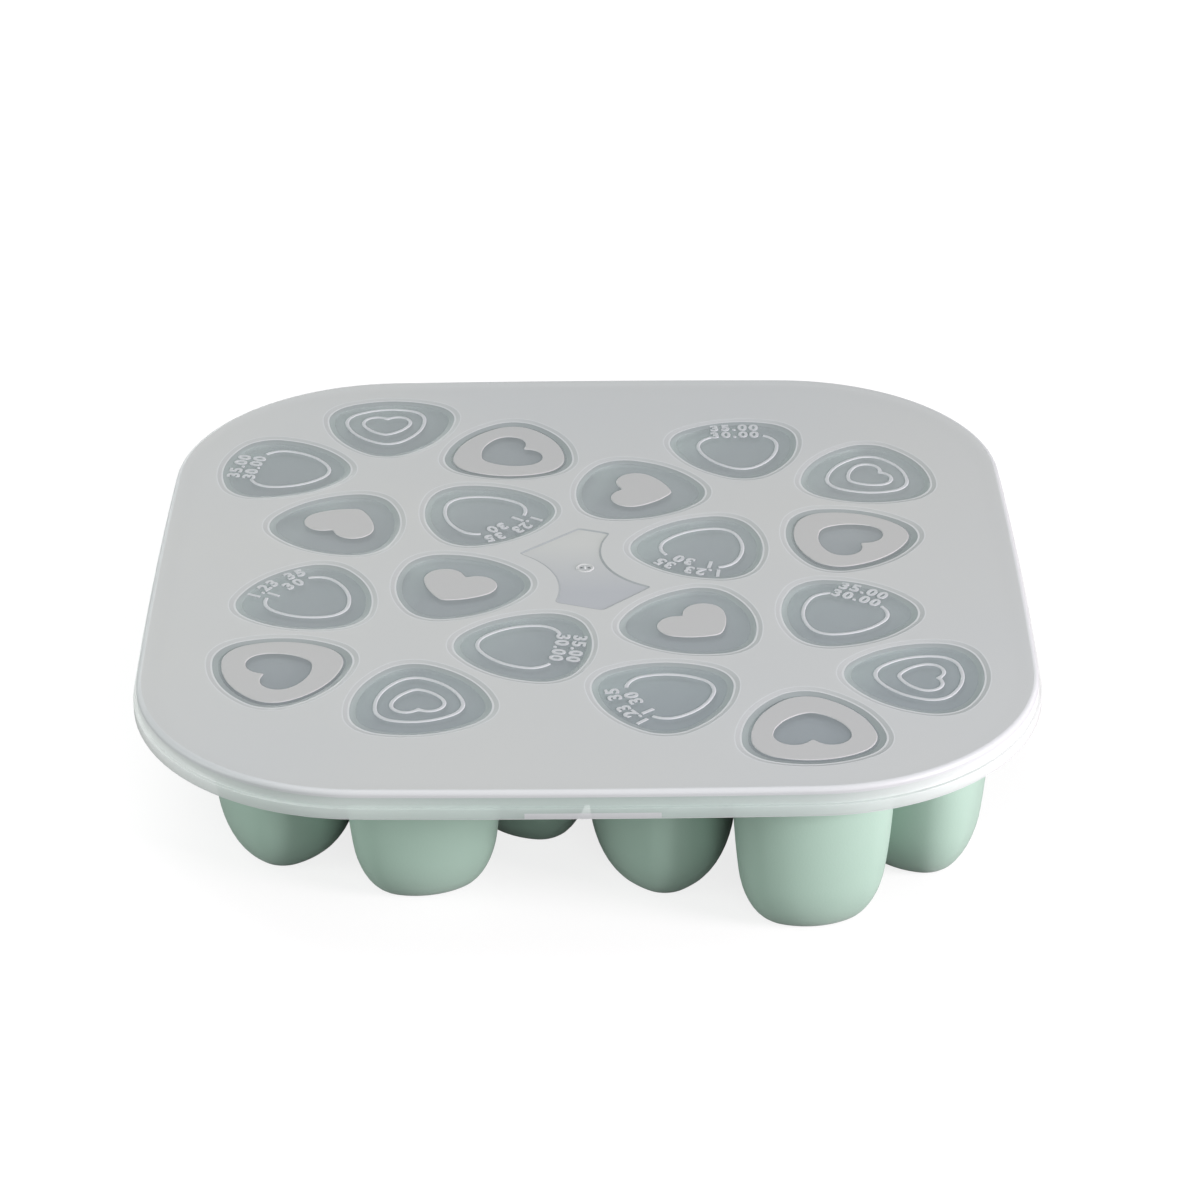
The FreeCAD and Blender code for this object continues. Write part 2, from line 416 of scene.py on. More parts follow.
def lid_finish(name, light, dark, alpha, roughness, grain_depth, spread=0.08, painted_light_slant=0.0, sides=None):
    """Two greys mixed by a broad cloud, which can also drift from dark in front to light at the back.

    A third colour and a second Alpha can be given for the lid's left and right sides.
    """
    nodes = Nodes(bpy.data.materials.new(name))
    # Adding the distance along Y makes a drift from front to back, which is painted light and shade.
    cloud = nodes.noise(scale=9.0, detail=2.0) + painted_light_slant * nodes.along("Y")
    grain = nodes.noise(scale=2600.0, detail=1.0)
    tone, cover = nodes.mixed(cloud, colour(*light), colour(*dark)), alpha
    if sides:
        across = nodes.along("X")
        aside = (SIDE_RISE * across * across).at_most(1)
        side_grey, side_alpha = sides
        tone = nodes.mixed(aside, tone, colour(*side_grey))
        cover = alpha + (side_alpha - alpha) * aside
    return nodes.surface(
        Base_Color=tone,
        Roughness=roughness + spread * grain,
        Normal=nodes.bump(grain, grain_depth),
        Alpha=cover,
        IOR=1.49,
    )


# name, light grey, dark grey, Alpha, Roughness, depth of the grain in metres
LID_FINISHES = [
    lid_finish("frosted_top", (179, 182, 179), (173, 178, 180), 0.90, 0.46, 0.00004),
    # The polished floors' own greys, with a painted reflection that makes them darker in front and lighter
    # at the back.
    lid_finish("polished_window_painted_reflection", (189, 196, 198), (169, 179, 185), 0.38, 0.12, 0.000004, 0.03, -2.5),
    lid_finish("thin_skirt", (186, 200, 194), (182, 196, 193), 0.56, 0.34, 0.00002, sides=SKIRT_SIDES),
    # The windows' sloped walls, made darker by painted shade.
    lid_finish("window_slope_painted_shade", (163, 172, 171), (157, 167, 169), 0.58, 0.36, 0.00001),
    # A painted highlight, for the lip's rounded foot and for the ridge in the gate's ring.
    lid_finish("bright_edge_painted_highlight", (203, 207, 207), (198, 202, 204), 0.92, 0.42, 0.00001),
    # The star's floor, with painted shade that makes it darker in front and lighter at the back.
    lid_finish("star_floor_painted_shade", (178, 182, 180), (160, 165, 169), 0.88, 0.50, 0.00003, painted_light_slant=-40.0),
    # The star's sloped walls, made darker by painted shade that draws its outline.
    lid_finish("star_wall_painted_shade", (144, 150, 150), (140, 147, 149), 0.90, 0.55, 0.00003),
    lid_finish("window_shoulder", (167, 171, 169), (162, 167, 169), 0.90, 0.42, 0.00003),
    # A painted highlight: lighter greys for the plate's rounded edge, the pale lines of the shoulders and
    # the strip on the thumb catch.
    lid_finish("painted_pale_highlight", (186, 190, 190), (182, 187, 189), 0.90, 0.44, 0.00003),
]
FROST, CLEAR, THIN, SLOPE, EDGE_LIT, STAR_WEB, STAR_WALL, SHOULDER, PAINTED_HIGHLIGHT = range(9)
MARK_FINISHES = [
    lid_finish("frosted_mark", (169, 171, 169), (164, 167, 168), 0.92, 0.5, 0.00003),
    lid_finish("bright_mark", (176, 181, 182), (172, 177, 180), 0.92, 0.5, 0.00002),
]
frosted_mark, bright_mark = MARK_FINISHES
print("made", ", ".join(m.name for m in LID_FINISHES + MARK_FINISHES))

# %% [markdown]
# A cup's wall draws in towards its foot, slowly near the deck and faster lower down, and ends in a
# rounded heel. The mean radius is a function of height, and the same function less the wall gives the
# hollow.

# %% Silhouette of a cup
CUP_H = 45.5
CUP_DRAFT = 3.9
CUP_CURVE = 2.2
HEEL_H = 13.6
HEEL_R = 5.4
CUP_WALL = 1.5
CUP_FLOOR = 1.6
DECK_T = 1.8
RIM_RISE = 0.3
MOUTH_ROUND = 0.5
MOUTH_ANGLES = (0, math.pi / 6, math.pi / 3, math.pi / 2)


def cup_radius(z):
    radius = CUP_R - CUP_DRAFT * ((CUP_H - z) / CUP_H) ** CUP_CURVE
    if z < HEEL_H:
        radius -= HEEL_R * (1 - math.sqrt(max(0.0, 1 - (1 - z / HEEL_H) ** 2)))
    return radius


HEEL_LEVELS = [HEEL_H * (1 - math.sin(math.radians(a))) for a in range(0, 91, 9)]
WALL_LEVELS = [HEEL_H + (CUP_H - HEEL_H) * k / 8 for k in range(8, 0, -1)]
LEVELS = WALL_LEVELS + HEEL_LEVELS  # from the deck down to the foot
print("cup radius", [round(cup_radius(z), 1) for z in LEVELS])

# %% [markdown]
# The tray is one skin: the deck's top with its twenty mouths, each hollow down to its floor, the
# deck's underside with the twenty outer walls down to their feet, and a thicker rim with rounded
# edges that carries the lid. A separate mesh for each cup would show seams where the real tray has
# none.

# %% The silicone tray
Z_DECK = CUP_H
Z_DECK_TOP = Z_DECK + DECK_T
Z_SEAT = Z_DECK_TOP + RIM_RISE
RIM_W = 4.2
Z_RIM = 44.2
EDGE = 0.55  # rounding of the rim's long edges


def quarter(out, z, start, steps=4, radius=EDGE):
    """Offsets and heights round a quarter turn, about (out, z), clockwise from start degrees."""
    angles = [math.radians(start - 90 * k / steps) for k in range(steps + 1)]
    return [(out + radius * math.cos(a), z + radius * math.sin(a)) for a in angles]


def mouth_edge(angle):
    """Mean radius and height on the rounded edge of a cup's mouth."""
    radius = CUP_R - CUP_WALL + MOUTH_ROUND * (1 - math.sin(angle))
    return radius, Z_DECK_TOP - MOUTH_ROUND * (1 - math.cos(angle))


def make_tray():
    skin = Skin()
    profile = [(-0.25, Z_DECK_TOP), (0.0, Z_DECK_TOP + 0.05), (0.2, Z_SEAT - 0.04), (0.45, Z_SEAT)]
    profile += quarter(RIM_W - EDGE, Z_SEAT - EDGE, 90)
    profile += quarter(RIM_W - EDGE, Z_RIM + EDGE, 0)
    profile += quarter(EDGE, Z_RIM + EDGE, -90)
    profile += [(0.0, Z_DECK)]
    first = skin.ring(square(profile[0][0]), profile[0][1])
    last = skin.sweep(first, [(square(out), z) for out, z in profile[1:]])
    mouths, necks = [], []
    for cup in CUPS:
        rounding = [mouth_edge(angle) for angle in MOUTH_ANGLES]
        mouths.append(skin.ring(cup_loop(cup, rounding[0][0]), rounding[0][1]))
        share = (CUP_H - CUP_FLOOR) / CUP_H
        hollow = rounding[1:] + [(cup_radius(z) - CUP_WALL, CUP_FLOOR + z * share) for z in LEVELS]
        skin.fill(skin.sweep(mouths[-1], [(cup_loop(cup, r), z) for r, z in hollow]))
        necks.append(skin.ring(cup_loop(cup, CUP_R), Z_DECK))
        outside = [(cup_radius(z), z) for z in LEVELS[1:]]
        skin.fill(skin.sweep(necks[-1], [(cup_loop(cup, r), z) for r, z in outside]))
    skin.fill(first, mouths)
    skin.fill(last, necks)
    return skin.build("silicone_tray", [silicone])


tray = make_tray()
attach(tray, "tray")
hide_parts(*[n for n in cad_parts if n.startswith("cup_")], "tray_deck", "tray_rim")

# %% [markdown]
# The lid is a second skin. Its top has twenty shallow windows and one star, and a low shoulder runs
# round each window. Its edge turns down into a skirt, steps out over a ledge and ends in a lower lip.
# Inside the lip eight beads snap under the silicone rim. Separate beads could be joined to the lip,
# but here they are pressed out of the lip's own points, so they grow out of it with soft ends.

# %% The lid's sizes
PLATE_T = 1.4
PLATE_EDGE_R = 1.2
EDGE_HIGHLIGHT_DROP = 0.4  # how far the rounded edge's painted highlight goes on below it, down the wall
Z_TOP = Z_SEAT + PLATE_T
Z_LEDGE = 45.0
LEDGE_T = 1.0
Z_LIP = 42.0
SKIRT_IN, SKIRT_OUT = 4.6, 5.8
LIP_IN, LIP_OUT = 5.5, 6.7
PLUG_R, WINDOW_R = 16.9, 16.2
PLUG_H = 0.6
WINDOW_DEPTH = 0.6
WINDOW_BEVEL = 0.7
SLOPE_TOE = 1.0  # how far in the slope of a window runs out on its floor
SHOULDER_W, SHOULDER_DROP = 1.65, 0.26
BEAD_REACH, BEAD_H = 1.0, 1.1
BEAD_START, BEAD_END = 20.0, 75.0
BEAD_EASE, CATCH_EASE = 3.0, 2.0  # length of the soft ends
CATCH_HALF, CATCH_T = 16.25, 0.7
CATCH_STRIP = 1.7  # top of the paler strip on the thumb catch, which is painted light, above the lip's foot
LEDGE_ROUND = 0.25
LIP_ROUND, LIP_BELLY = 0.3, 0.09  # rounding of the lip's foot, and its middle point
LINE_W, LINE_DROP = 0.3, 0.01  # the painted highlight lines at both edges of a shoulder
LINE_INNER = 0.18  # how far the inner line reaches in from the window's brink


def soft_step(value, low, high, ease):
    """1 between two limits and 0 outside them, with an eased change at both."""
    rise = np.clip((value - low) / ease + 0.5, 0, 1)
    fall = np.clip((high - value) / ease + 0.5, 0, 1)
    share = np.minimum(rise, fall)
    return share * share * (3 - 2 * share)


def pressed(out, reach_in):
    """The outline at an offset, with each side pressed inwards by a given amount for each point."""
    plan = square(out)
    inner = square(out - 1.0)
    return plan + (inner - plan) * reach_in[:, None]


def lip_pressing(bead, catch):
    """How far each point of a lip's loop is pressed in, for the beads and for the thumb catch."""
    plan = square(LIP_IN)
    along = np.minimum(np.abs(plan[:, 0]), np.abs(plan[:, 1]))
    reach = bead * soft_step(along, BEAD_START, BEAD_END, BEAD_EASE)
    front = (plan[:, 1] < 0) & (np.abs(plan[:, 1]) > np.abs(plan[:, 0]))
    swell = soft_step(np.abs(plan[:, 0]), -CATCH_HALF, CATCH_HALF, CATCH_EASE)
    return np.maximum(reach, catch * front * swell)


print(f"lid {2 * (DECK_HALF + LIP_OUT):.1f} mm wide, top at {Z_TOP:.1f} mm")

# %% [markdown]
# In the middle of the lid is a shallow star, with the mark of the moulding gate in it. Its edges are
# arcs and straight lines between a few corners. A boolean cut would be shorter to write, but here the
# outline is one loop in even steps, so its corners can be softened as a mould would leave them.

# %% The star in the middle of the lid
STAR_DEPTH = 0.22
STAR = (  # each half: a tip, a point on the hollow edge, and two corners before the next tip, in pitches
    ((-0.492, 0.193), (-0.233, -0.137), (-0.232, -0.532), (0.107, -0.656)),
    ((0.452, -0.315), (0.126, 0.033), (0.166, 0.492), (-0.064, 0.575)),
)
STAR_SPACING = 0.6  # between two points of the outline
STAR_SOFTENING = 4  # rounds of blending at its corners
GATE_PLACE = (-0.017, -0.022)  # in pitches
GATE_R = 2.2
PIT_R, PIT_AWAY = 0.4, 0.95  # the two pits inside the gate's ring
PIT_DEPTH = 0.3
RIDGE_HALF = (0.2, 0.85)
INSERT_RISE = 0.06  # height of the ground inside the gate's ring
GATE_STEPS = 40


def circle_through(a, b, c, steps):
    """Points from a, through b, to just before c, on one arc."""
    (ax, ay), (bx, by), (cx, cy) = a, b, c
    d = 2 * (ax * (by - cy) + bx * (cy - ay) + cx * (ay - by))
    sa, sb, sc = ax * ax + ay * ay, bx * bx + by * by, cx * cx + cy * cy
    along_x = sa * (by - cy) + sb * (cy - ay) + sc * (ay - by)
    along_y = sa * (cx - bx) + sb * (ax - cx) + sc * (bx - ax)
    centre = np.array([along_x, along_y]) / d
    radius = math.hypot(*(np.array(a) - centre))
    angles = [math.degrees(math.atan2(*(np.array(p) - centre)[::-1])) for p in (a, b, c)]
    sweep = (angles[2] - angles[0]) % 360
    if (angles[1] - angles[0]) % 360 > sweep:
        sweep -= 360
    return arc(centre, radius, angles[0], angles[0] + sweep, steps)


def line(a, b, steps):
    """Points from a to just before b."""
    return [a + (b - a) * k / steps for k in range(steps)]


def softened(plan, times):
    """A loop whose corners are rounded by blending each point with its neighbours."""
    for _ in range(times):
        plan = (np.roll(plan, 1, 0) + 2 * plan + np.roll(plan, -1, 0)) / 4
    return plan


def star_loop():
    """The star's outline in even steps, with soft corners."""
    points = []
    for half, other in zip(STAR, STAR[::-1]):
        tip, hollow, first, second = (np.array(p) * PITCH for p in half)
        last = np.array(other[0]) * PITCH
        for start, end, through in ((tip, first, hollow), (first, second, None), (second, last, None)):
            steps = round(np.linalg.norm(end - start) / STAR_SPACING)
            if through is None:
                points += line(start, end, steps)
            else:
                points += circle_through(start, through, end, steps)
    return softened(np.array(points), STAR_SOFTENING)


def shrunk(plan, amount):
    """A loop moved inwards by an amount along its own normals."""
    before, after = np.roll(plan, 1, 0), np.roll(plan, -1, 0)
    tangent = after - before
    tangent /= np.linalg.norm(tangent, axis=1)[:, None]
    normal = np.stack([-tangent[:, 1], tangent[:, 0]], 1)
    area = np.sum(plan[:, 0] * after[:, 1] - after[:, 0] * plan[:, 1])
    return plan + normal * amount * (1 if area > 0 else -1)


star_plan = star_loop()
print(f"star {np.ptp(star_plan[:, 0]):.1f} x {np.ptp(star_plan[:, 1]):.1f} mm, {len(star_plan)} points")

# %% [markdown]
# The lid's parts are made one by one in the same skin. Each gives back the ring where it meets the
# plate, and two fills then close the plate's top and its underside round those rings.

# %% The lid


def make_skirt(skin):
    """The edge of the lid, from its top round to its underside. Gives its first and last ring."""
    beads, catch = lip_pressing(BEAD_REACH, CATCH_T), lip_pressing(0.0, CATCH_T)
    flat_edge, z_round = SKIRT_OUT - PLATE_EDGE_R, Z_TOP - PLATE_EDGE_R
    top_edge = skin.ring(square(flat_edge), Z_TOP)
    fillet = quarter(flat_edge, z_round, 90, steps=8, radius=PLATE_EDGE_R)[1:]
    fillet.append((SKIRT_OUT, z_round - EDGE_HIGHLIGHT_DROP))
    # The rounded edge, and the wall just below it, get the painted highlight.
    ring = skin.sweep(top_edge, [(square(out), z) for out, z in fillet], PAINTED_HIGHLIGHT)
    wall = [  # offset and height, down the skirt, over the ledge and round its edge
        (SKIRT_OUT, Z_LEDGE + LEDGE_ROUND),
        (SKIRT_OUT + 0.1, Z_LEDGE + 0.06),
        (SKIRT_OUT + LEDGE_ROUND, Z_LEDGE),
        (LIP_OUT - LEDGE_ROUND, Z_LEDGE),
        (LIP_OUT - 0.07, Z_LEDGE - 0.07),
        (LIP_OUT, Z_LEDGE - LEDGE_ROUND),
    ]
    ring = skin.sweep(ring, [(square(out), z) for out, z in wall], THIN)
    plan = square(LIP_OUT)
    ring = skin.sweep(ring, [(plan, Z_LIP + CATCH_STRIP)], THIN)
    catch_front = (plan[:, 1] < 0) & (np.abs(plan[:, 0]) < CATCH_HALF)
    # The strip on the thumb catch gets the pale finish, which is painted light.
    ring = skin.sweep(ring, [(plan, Z_LIP + LIP_ROUND)], np.where(catch_front, PAINTED_HIGHLIGHT, THIN))
    # The lip's rounded foot gets a painted highlight line.
    foot = [(square(LIP_OUT - LIP_BELLY), Z_LIP + LIP_BELLY), (square(LIP_OUT - LIP_ROUND), Z_LIP)]
    ring = skin.sweep(ring, foot, EDGE_LIT)
    z_bead = Z_LEDGE - LEDGE_T
    inside = [  # offset, how far it is pressed in, and height, up the inside of the lip
        (LIP_IN + LIP_ROUND, catch, Z_LIP),
        (LIP_IN, catch, Z_LIP + LIP_ROUND),
        (LIP_IN, catch, z_bead - BEAD_H - 0.15),
        (LIP_IN, 0.75 * beads + 0.25 * catch, z_bead - 0.8 * BEAD_H),
        (LIP_IN, beads, z_bead - 0.5 * BEAD_H),
        (LIP_IN, beads, z_bead - 0.1),
        (LIP_IN, np.maximum(beads, 0.1), z_bead),
    ]
    ring = skin.sweep(ring, [(pressed(out, reach), z) for out, reach, z in inside], THIN)
    return top_edge, skin.sweep(ring, [(square(SKIRT_IN), z_bead), (square(SKIRT_IN), Z_SEAT)], THIN)


def make_window(skin, cup):
    """One window with its plug below. Gives the ring in the lid's top and the one in its underside."""
    brink, floor_z = WINDOW_R + WINDOW_BEVEL, Z_TOP - WINDOW_DEPTH
    low = Z_TOP - SHOULDER_DROP
    rim = skin.ring(cup_loop(cup, brink + SHOULDER_W), Z_TOP)
    outer_line = [(cup_loop(cup, brink + SHOULDER_W - LINE_W), Z_TOP - LINE_DROP)]
    # The shoulder's two pale lines are a painted highlight.
    ring = skin.sweep(rim, outer_line, PAINTED_HIGHLIGHT, smooth=False)
    ring = skin.sweep(ring, [(cup_loop(cup, brink + LINE_W), low)], SHOULDER)
    inner_line = [(cup_loop(cup, brink - LINE_INNER), low - LINE_DROP)]
    ring = skin.sweep(ring, inner_line, PAINTED_HIGHLIGHT, smooth=False)
    # The slope takes the darker finish, which is painted shade.
    slope = [  # mean radius and height, easing out onto the floor
        (brink - 0.35, low - 0.06),
        (WINDOW_R - 0.1, floor_z + 0.16),
        (WINDOW_R - 0.5, floor_z + 0.07),
        (WINDOW_R - SLOPE_TOE, floor_z),
    ]
    skin.fill(skin.sweep(ring, [(cup_loop(cup, r), z) for r, z in slope], SLOPE), (), CLEAR)
    plug = skin.ring(cup_loop(cup, PLUG_R), Z_SEAT)
    z_plug = Z_SEAT - PLUG_H
    lower = [(PLUG_R - 0.08, Z_SEAT - 0.1), (WINDOW_R + 0.12, z_plug + 0.1), (WINDOW_R - 0.1, z_plug)]
    skin.fill(skin.sweep(plug, [(cup_loop(cup, r), z) for r, z in lower], CLEAR), (), CLEAR)
    return rim, plug


def make_star(skin):
    """The shallow star with the gate's raised ring, which holds two pits and a short ridge."""
    low = Z_TOP - STAR_DEPTH
    star = skin.ring(star_plan, Z_TOP)
    # The wall takes the dark finish, which is painted shade.
    wall = [(0.05, Z_TOP - 0.02), (0.45, low + 0.04), (0.55, low)]  # how far in, and height
    foot = skin.sweep(star, [(shrunk(star_plan, inward), z) for inward, z in wall], STAR_WALL)
    middle = np.array(GATE_PLACE) * PITCH
    around = np.array(arc(np.zeros(2), 1.0, 0, 360, GATE_STEPS))
    gate = skin.ring(around * (GATE_R + 0.1) + middle, low)
    skin.fill(foot, [gate], STAR_WEB)
    crest = [(GATE_R - 0.02, 0.16), (GATE_R - 0.15, 0.2), (GATE_R - 0.4, 0.2), (GATE_R - 0.6, INSERT_RISE)]
    well = skin.sweep(gate, [(around * r + middle, low + z) for r, z in crest], FROST)
    coarse = around[::3]
    inserts = []
    for side in (-PIT_AWAY, PIT_AWAY):
        pit = coarse * PIT_R + middle + (side, 0)
        inserts.append(skin.ring(pit, low + INSERT_RISE))
        skin.fill(skin.sweep(inserts[-1], [(shrunk(pit, 0.06), low - PIT_DEPTH)], CLEAR), (), CLEAR)
    ridge = coarse * RIDGE_HALF + middle
    inserts.append(skin.ring(ridge, low + INSERT_RISE))
    # The ridge gets a painted highlight.
    skin.fill(skin.sweep(inserts[-1], [(shrunk(ridge, 0.05), low + 0.2)], EDGE_LIT), (), EDGE_LIT)
    skin.fill(well, inserts, STAR_WEB)
    return star


def make_lid():
    skin = Skin()
    top_edge, bottom_edge = make_skirt(skin)
    rims, plugs = zip(*(make_window(skin, cup) for cup in CUPS))
    skin.fill(top_edge, [*rims, make_star(skin)], FROST)
    skin.fill(bottom_edge, plugs, FROST)
    return skin.build("frosted_lid", LID_FINISHES)


lid = make_lid()
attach(lid, "lid")
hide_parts("lid_plate", "lid_skirt", "lid_snap_beads")

# %% [markdown]
# The windows carry frosted marks that stand a hair above the polished floor. Some have an outline of
# the same triangle with an open heart in it, some a frosted panel with a clear heart, some a solid
# heart, and the rest an outline with two short rows of numbers. Each mark is a low relief with sloped
# edges, so its rim catches the light.

# %% Hearts, ribs and pads
Z_FLOOR = Z_TOP - WINDOW_DEPTH
SUNK = 0.05
MARK_H = 0.16
MARK_SLOPE = ((0.1, MARK_H * 0.7), (0.22, MARK_H))  # how far in from the edge, and how high
HEART_MIDDLE = 0.135  # of its length, from the line between the lobes' centres towards the point
LOBE_STEPS, FLANK_STEPS = 14, 10
SMALL_HEART = {"width": 12.8, "length": 10.8, "lobe": 3.65, "flank": 10.0}
HOLLOW_HEART = {"width": 18.5, "length": 15.1, "lobe": 4.8, "flank": 12.7}
SOLID_HEART = {"width": 19.6, "length": 15.6, "lobe": 5.25, "flank": 19.4}


def heart(width, length, lobe, flank, grow=0.0):
    """A heart of two lobe arcs and two wide flank arcs, with its point along +X, grown by an offset."""
    lobe_hub, tip = np.array([0.0, width / 2 - lobe]), np.array([length - lobe, 0.0])
    gap = np.linalg.norm(tip - lobe_hub)
    along = (tip - lobe_hub) / gap
    share = ((flank - lobe) ** 2 - flank**2 + gap**2) / (2 * gap)
    rise = math.sqrt((flank - lobe) ** 2 - share**2)
    flank_hub = lobe_hub + share * along + rise * np.array([along[1], -along[0]])
    notch_angle = 180 + math.degrees(math.asin(lobe_hub[1] / (lobe + grow)))
    joint_angle = math.degrees(math.atan2(*(lobe_hub - flank_hub)[::-1]))
    tip_angle = math.degrees(math.asin(-flank_hub[1] / (flank + grow)))
    half = arc(lobe_hub, lobe + grow, notch_angle, joint_angle, LOBE_STEPS)
    half += arc(flank_hub, flank + grow, joint_angle, tip_angle, FLANK_STEPS)
    half.append(flank_hub + (flank + grow) * direction(tip_angle))
    other_half = [p * (1, -1) for p in half[-2:0:-1]]
    return softened(np.array(half + other_half), 1) - (HEART_MIDDLE * length, 0)


def relief(skin, outer, inner=None):
    """A low pad, or a rib when an inner edge is given. An edge is a function of how far it is cut back."""
    foot = skin.ring(outer(0.0), Z_FLOOR - SUNK)
    crest = skin.sweep(foot, [(outer(cut), Z_FLOOR + z) for cut, z in MARK_SLOPE])
    if inner is None:
        skin.fill(crest)
        skin.fill(foot)
        return
    hole = skin.ring(inner(0.0), Z_FLOOR - SUNK)
    brink = skin.sweep(hole, [(inner(-cut), Z_FLOOR + z) for cut, z in MARK_SLOPE])
    skin.fill(crest, [brink])
    skin.fill(foot, [hole])


heart_length, heart_width = np.ptp(heart(**SOLID_HEART), axis=0)
print(f"marks stand {MARK_H} mm above the floors, a heart is {heart_width:.1f} x {heart_length:.1f} mm")

# %% [markdown]
# Each window has one kind of mark, turned its own way. The tables below name the windows by number
# and give the direction of the heart's point, or of the rows of numbers. A rule that turns each mark
# with its cup would be shorter, but no such rule was found to fit, so each direction is listed.

# %% Which mark each window has
RIB_W = 1.0
OUTLINE_R = 10.36
PANEL_R = 14.6
HEARTS_IN_OUTLINE = {1: 270, 10: 95, 19: 210, 13: 172}
HEARTS_IN_PANEL = {2: 211, 9: 27, 17: 140, 11: 90}
SOLID_HEARTS = {5: 60, 6: 244, 18: 351, 14: 315}
SMALL_MEASURES = {3: 168, 8: 350, 20: 91, 15: 60}
LARGE_MEASURES = {4: 310, 7: 136, 16: 245, 12: 205}
NUMBERED = {**SMALL_MEASURES, **LARGE_MEASURES}
OFF_CENTRE = {  # x, y and twist of marks whose insert sits otherwise in its window than the rest
    1: (-1.2, 1.3, 9), 2: (0, 0.2, 0), 3: (1.2, 0.4, -3), 4: (-0.6, 0.7, 9), 5: (0.8, 2.0, 0),
    6: (-0.5, 0.5, 0), 7: (0.4, 0.7, 1), 8: (-1.2, 0.8, -3), 10: (-0.2, 0.6, -1), 11: (0.1, 0.3, 0),
    12: (1.3, 0.7, -9), 13: (0.7, 0.5, -2), 14: (1.3, 0.2, 0), 15: (-0.6, 0.0, -3), 16: (0.8, 0.4, -4),
    18: (1.3, 0.5, 0), 19: (0.4, 0.3, -1), 20: (0.7, -0.5, -4),
}  # fmt: skip
REST = (0.0, 0.6, 0)


def insert_at(number):
    """Where the marks of a window stand: x, y and the direction of a corner."""
    return tuple(a + b for a, b in zip(CUPS[number - 1], OFF_CENTRE.get(number, REST)))


def heart_at(number, turn, grow=0.0, **sizes):
    """The edge of a heart in a window, as a function of how far it is cut back."""
    x, y, _ = insert_at(number)
    return lambda cut: placed(heart(grow=grow - cut, **sizes), x, y, turn)


def outline_at(number, radius):
    return lambda cut: cup_loop(insert_at(number), radius - cut)


HALF_RIB = RIB_W / 2
ribs, pads = Skin(), Skin()
for number, turn in HEARTS_IN_OUTLINE.items():
    relief(ribs, outline_at(number, OUTLINE_R + HALF_RIB), outline_at(number, OUTLINE_R - HALF_RIB))
    outer, inner = (heart_at(number, turn, grow, **SMALL_HEART) for grow in (HALF_RIB, -HALF_RIB))
    relief(ribs, outer, inner)
for number, turn in HEARTS_IN_PANEL.items():
    relief(pads, outline_at(number, PANEL_R), heart_at(number, turn, **HOLLOW_HEART))
for number, turn in SOLID_HEARTS.items():
    relief(pads, heart_at(number, turn, **SOLID_HEART))
print(len(ribs.faces) + len(pads.faces), "faces of relief")

# %% [markdown]
# The outline of a numbered window stops on both sides of the inner row of numbers. An open rib is
# swept along its middle line with the same sloped section and closed at both ends.

# %% Open outlines beside the numbers
GAP = 40  # degrees to each side of the rows


def open_rib(skin, middle, half_width):
    tangent = np.gradient(middle, axis=0)
    tangent /= np.linalg.norm(tangent, axis=1)[:, None]
    normal = np.stack([-tangent[:, 1], tangent[:, 0]], 1)
    section = [(-half_width, -SUNK)] + [(-half_width + cut, z) for cut, z in MARK_SLOPE]
    section += [(-out, z) for out, z in reversed(section)]
    lines = [skin.ring(middle + normal * out, Z_FLOOR + z) for out, z in section]
    for first, second in zip(lines, lines[1:] + lines[:1]):
        skin.band(first, second, closed=False)
    for end in (0, -1):
        skin.face(tuple(line[end] for line in lines), 0, False)


for number, normal in NUMBERED.items():
    x, y, turn = insert_at(number)
    loop = cup_loop((x, y, turn), OUTLINE_R)
    angle = (np.degrees(np.arctan2(loop[:, 1] - y, loop[:, 0] - x)) - normal) % 360
    order = np.argsort(angle)
    kept = [i for i in order if GAP < angle[i] < 360 - GAP]
    open_rib(ribs, loop[kept], HALF_RIB)

for name, skin, finish in (("window_outlines", ribs, bright_mark), ("window_hearts", pads, frosted_mark)):
    piece = skin.build(name, [finish])
    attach(piece, "lid")

# %% [markdown]
# The numbers are plain digits, as on any measuring mould. Each digit is set once in Blender's own font,
# with a small depth and a tiny bevel, and turned into a mesh. Copies of it are then laid along an arc,
# because the rows follow the window's rounded side. The tops of the digits face out of the window.

# %% One digit
DIGIT_H = 3.2
DIGIT_STRETCH = 1.08
DIGIT_BEVEL, DIGIT_SWELL = 0.02, 0.14  # bevel of its edges, and how much thicker its strokes are
FONT_RISE = 0.69  # height of a digit over the font's size
ADVANCE = {".": 1.6, " ": 2.6}
DIGIT_ADVANCE = 3.0


def digit(character):
    """Points in mm about the digit's middle, and faces."""
    text = bpy.data.curves.new("digit", "FONT")
    text.body = character
    text.align_x, text.align_y = "CENTER", "BOTTOM_BASELINE"
    text.size = DIGIT_H / FONT_RISE * MM
    text.extrude = 0.5 * (MARK_H + SUNK - 2 * DIGIT_BEVEL) * MM
    text.bevel_depth = DIGIT_BEVEL * MM
    text.offset = DIGIT_SWELL * MM
    text.resolution_u = 3
    holder = bpy.data.objects.new("digit", text)
    bpy.context.scene.collection.objects.link(holder)
    bpy.context.view_layer.update()
    mesh = bpy.data.meshes.new_from_object(holder.evaluated_get(bpy.context.evaluated_depsgraph_get()))
    bpy.data.objects.remove(holder)
    points = np.array([v.co for v in mesh.vertices]) / MM
    faces = [tuple(polygon.vertices) for polygon in mesh.polygons]
    return (points - (0, DIGIT_H / 2, 0)) * (DIGIT_STRETCH, 1, 1), faces


DIGITS = {character: digit(character) for character in "01235."}
print({character: len(faces) for character, (_, faces) in DIGITS.items()})

# %% [markdown]
# A row is a list of digits with a width for each, spread to both sides of its middle. The widths are
# turned into angles about a hub behind the marks, so a far hub gives a nearly straight row and a near
# hub a curved one. A text on a curve could do this too, but plain meshes are easier to export.

